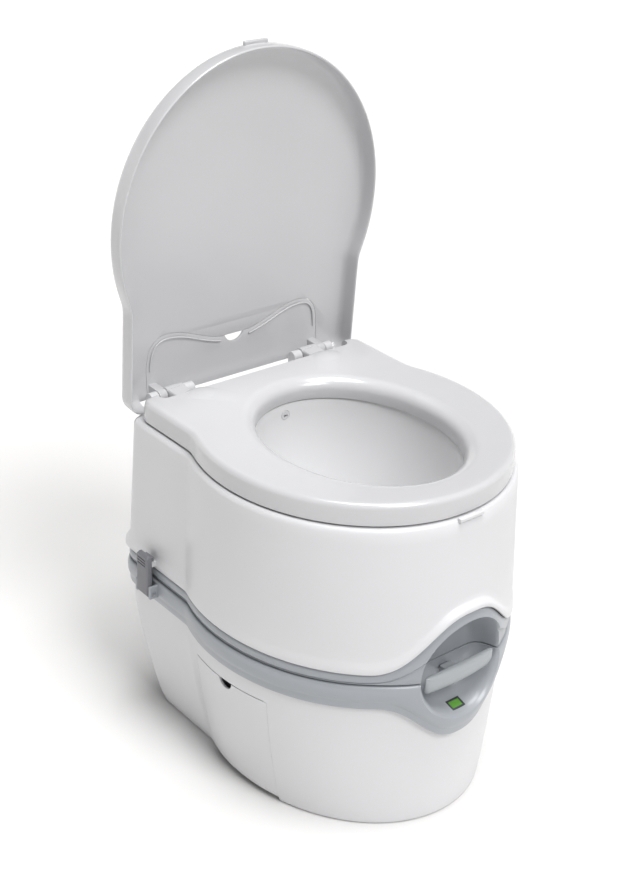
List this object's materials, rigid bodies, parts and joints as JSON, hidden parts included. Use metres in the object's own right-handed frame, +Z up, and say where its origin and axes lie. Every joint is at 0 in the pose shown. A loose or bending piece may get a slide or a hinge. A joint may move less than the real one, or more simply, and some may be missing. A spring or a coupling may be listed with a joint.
{
  "type": "portable camp toilet",
  "caption": "Portable camp toilet: a flush-water tank with bowl, hinged seat and lid, latched on a waste tank with a pull-out slide valve, pour spout and roll holder",
  "frame": {"origin": "centre of the round front body on the floor, on the flat underside", "axes": "+Z up, -Y towards the front where the pull handle is, +X towards the side with the flush pump"},
  "size_m": [0.3904, 0.4578, 0.8427],
  "materials": {
    "white_plastic": "satin moulded",
    "bowl_white": "high gloss",
    "grey_trim": "satin moulded",
    "grey_handle": "satin moulded",
    "dark_grey": "fine grain",
    "black_rubber": "matte",
    "green_flag": "matte",
    "clear_window": "polished",
    "steel": "drawn wire and rod",
    "foam": "closed-cell foam",
    "clear_hose": "smooth"
  },
  "bodies": {
    "tanks": {"waste_tank": "white_plastic", "trim_lower": "grey_trim", "roll_box": "white_plastic", "roll_door_pin": "steel", "valve_housing": "grey_trim", "lip_seal": "black_rubber", "level_window": "clear_window", "spout_seal": "black_rubber", "vent_housing": "grey_trim", "vent_spring": "steel", "latch_pin_left": "steel", "latch_pin_right": "steel", "flush_tank": "white_plastic", "trim_upper": "grey_trim", "bowl": "bowl_white", "outlet_gasket": "black_rubber", "flush_nozzle": "white_plastic", "rinse_tube": "clear_hose", "pickup_tube": "clear_hose", "pump_cylinder": "grey_trim", "pump_spring": "steel", "filler_seal": "black_rubber", "hinge_block_left": "white_plastic", "hinge_block_right": "white_plastic", "hinge_pin_left": "steel", "hinge_pin_right": "steel"},
    "lid_body": {"lid": "white_plastic", "lid_hinge_panel": "white_plastic"},
    "seat_body": {"seat": "white_plastic", "seat_bumper_1": "white_plastic", "seat_bumper_2": "white_plastic", "seat_bumper_3": "white_plastic", "seat_bumper_4": "white_plastic"},
    "valve": {"valve_blade": "grey_trim", "valve_rod": "steel", "valve_handle": "grey_handle"},
    "level": {"level_drum": "green_flag", "level_float": "foam"},
    "side_door": {"roll_door": "white_plastic"},
    "spindle": {"roll_spindle": "grey_trim"},
    "pour_spout": {"spout": "grey_trim"},
    "pour_cap": {"spout_cap": "grey_trim"},
    "vent": {"vent_button": "grey_trim"},
    "pump": {"pump_button": "grey_trim"},
    "latch_l": {"latch_left": "dark_grey"},
    "latch_r": {"latch_right": "dark_grey"},
    "filler": {"filler_cap": "grey_trim"}
  },
  "joints": [
    {"name": "lid_hinge", "type": "hinge", "parent": "tanks", "child": "lid_body", "pos_m": [0, 0.2094, 0.4212], "axis": [-1, 0, 0], "range_deg": [-87.34, 0]},
    {"name": "seat_hinge", "type": "hinge", "parent": "tanks", "child": "seat_body", "pos_m": [0, 0.2094, 0.4212], "axis": [-1, 0, 0], "range_deg": [0, 85]},
    {"name": "valve_slide", "type": "slide", "parent": "tanks", "child": "valve", "axis": [0, -1, 0], "range_m": [0, 0.1]},
    {"name": "level_turn", "type": "hinge", "parent": "tanks", "child": "level", "pos_m": [0, -0.208, 0.1506], "axis": [1, 0, 0], "range_deg": [0, 20]},
    {"name": "door_hinge", "type": "hinge", "parent": "tanks", "child": "side_door", "pos_m": [-0.148, -0.016, 0.022], "axis": [0, -1, 0], "range_deg": [0, 40]},
    {"name": "spindle_turn", "type": "hinge", "parent": "tanks", "child": "spindle", "pos_m": [-0.112, -0.016, 0.088], "axis": [0, 1, 0], "continuous": true},
    {"name": "spout_swing", "type": "hinge", "parent": "tanks", "child": "pour_spout", "pos_m": [0.112, 0.19, 0.148], "axis": [0, 0, -1], "range_deg": [0, 90]},
    {"name": "cap_turn", "type": "hinge", "parent": "pour_spout", "child": "pour_cap", "pos_m": [-0.006, 0.19, 0.148], "axis": [-1, 0, 0], "range_deg": [0, 90]},
    {"name": "vent_press", "type": "slide", "parent": "tanks", "child": "vent", "axis": [0, -1, 0], "range_m": [0, 0.005], "stiffness_N_per_m": 400, "springref_m": -0.001, "deforming": ["vent_spring"]},
    {"name": "pump_press", "type": "slide", "parent": "tanks", "child": "pump", "axis": [-1, 0, 0], "range_m": [0, 0.016], "stiffness_N_per_m": 300, "springref_m": -0.004, "deforming": ["pump_spring"]},
    {"name": "latch_left_turn", "type": "hinge", "parent": "tanks", "child": "latch_l", "pos_m": [-0.188, 0.149, 0.198], "axis": [0, -1, 0], "range_deg": [0, 60]},
    {"name": "latch_right_turn", "type": "hinge", "parent": "tanks", "child": "latch_r", "pos_m": [0.188, 0.149, 0.198], "axis": [0, 1, 0], "range_deg": [0, 60]},
    {"name": "filler_turn", "type": "hinge", "parent": "tanks", "child": "filler", "pos_m": [-0.092, 0.212, 0.345], "axis": [0, 1, 0], "range_deg": [0, 90]}
  ]
}
